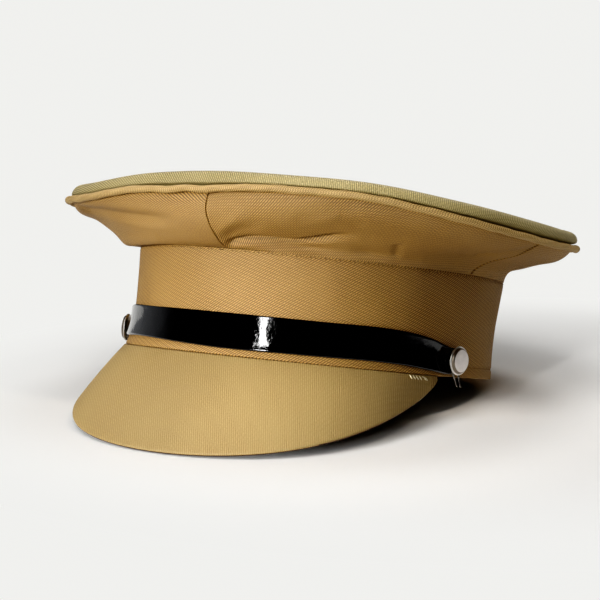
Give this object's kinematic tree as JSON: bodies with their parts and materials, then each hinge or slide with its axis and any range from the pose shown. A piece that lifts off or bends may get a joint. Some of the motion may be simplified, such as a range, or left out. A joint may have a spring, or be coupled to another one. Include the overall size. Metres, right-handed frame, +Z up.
{
  "type": "peaked cap",
  "caption": "Khaki twill peaked cap with a wide olive-topped crown, corded piping, a cloth-covered peak, a black patent chin strap and plated side buttons",
  "frame": {"origin": "on the floor, under the middle of the box the standing cap fills", "axes": "+Z is up, the cap faces -Y, and +X is the wearer's left"},
  "size_m": [0.2598, 0.2888, 0.1234],
  "materials": {
    "khaki_twill": "matt cotton twill with a diagonal rib",
    "olive_twill": "matt olive twill, a little faded",
    "black_patent": "glossy black patent leather",
    "plated_metal": "satin plated metal with a polished rim"
  },
  "bodies": {
    "root": {"band": "khaki_twill", "quarter_front_left": "khaki_twill", "quarter_front_right": "khaki_twill", "quarter_back_left": "khaki_twill", "quarter_back_right": "khaki_twill", "crown_piping": "khaki_twill", "crown_top": "olive_twill", "peak": "khaki_twill", "chin_strap": "black_patent", "button_left": "plated_metal", "button_right": "plated_metal", "split_pin_left": "plated_metal", "split_pin_right": "plated_metal"}
  },
  "joints": []
}
